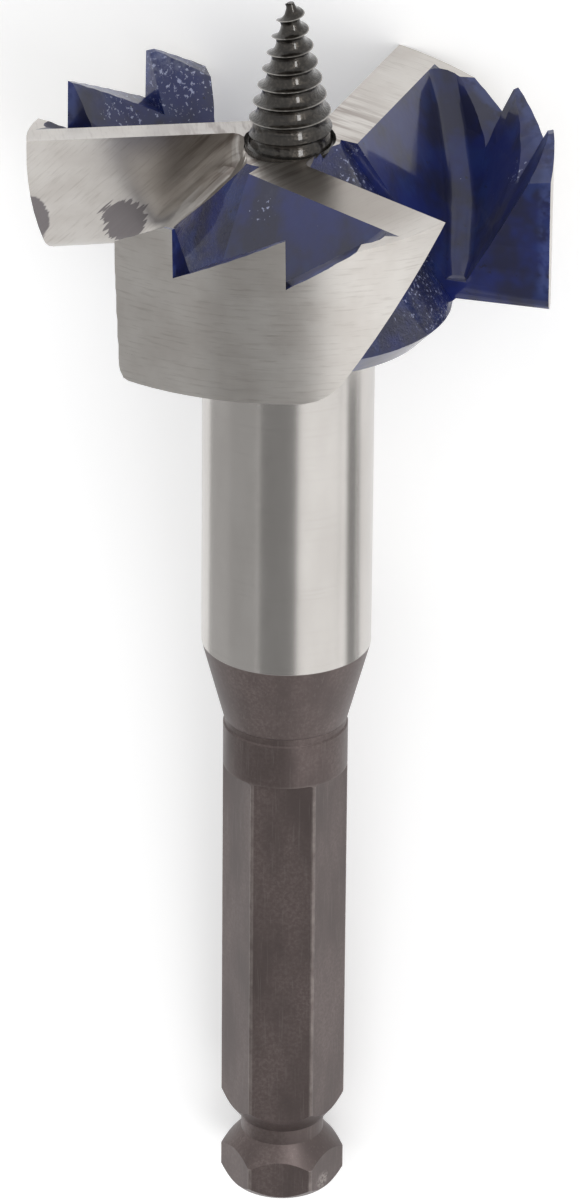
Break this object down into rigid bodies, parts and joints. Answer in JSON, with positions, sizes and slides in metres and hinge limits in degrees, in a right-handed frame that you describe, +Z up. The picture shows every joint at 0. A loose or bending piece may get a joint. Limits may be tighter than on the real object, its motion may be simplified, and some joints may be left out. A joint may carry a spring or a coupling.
{
  "type": "self-feed wood bit",
  "caption": "Self-feed wood boring bit: three-winged cutter head with toothed rims, tapered lead screw and hexagonal shank, lying on its back.",
  "frame": {"origin": "on the surface the bit lies on, under the middle of its bounding box", "axes": "+Y runs with the bit towards its cutting end, which lies 9.2 degrees higher than the shank, and +Z is up, out of the side with the front lip"},
  "size_m": [0.0516, 0.1308, 0.0499],
  "materials": {
    "ground_steel": "ground bright, with blue lacquer in the pockets and dark oxide on the shank",
    "oiled_black_steel": "black oxide, oiled",
    "black_oxide": "black oxide"
  },
  "bodies": {
    "root": {"cutter_body": "ground_steel", "feed_screw": "oiled_black_steel", "set_screw": "black_oxide"}
  },
  "joints": []
}
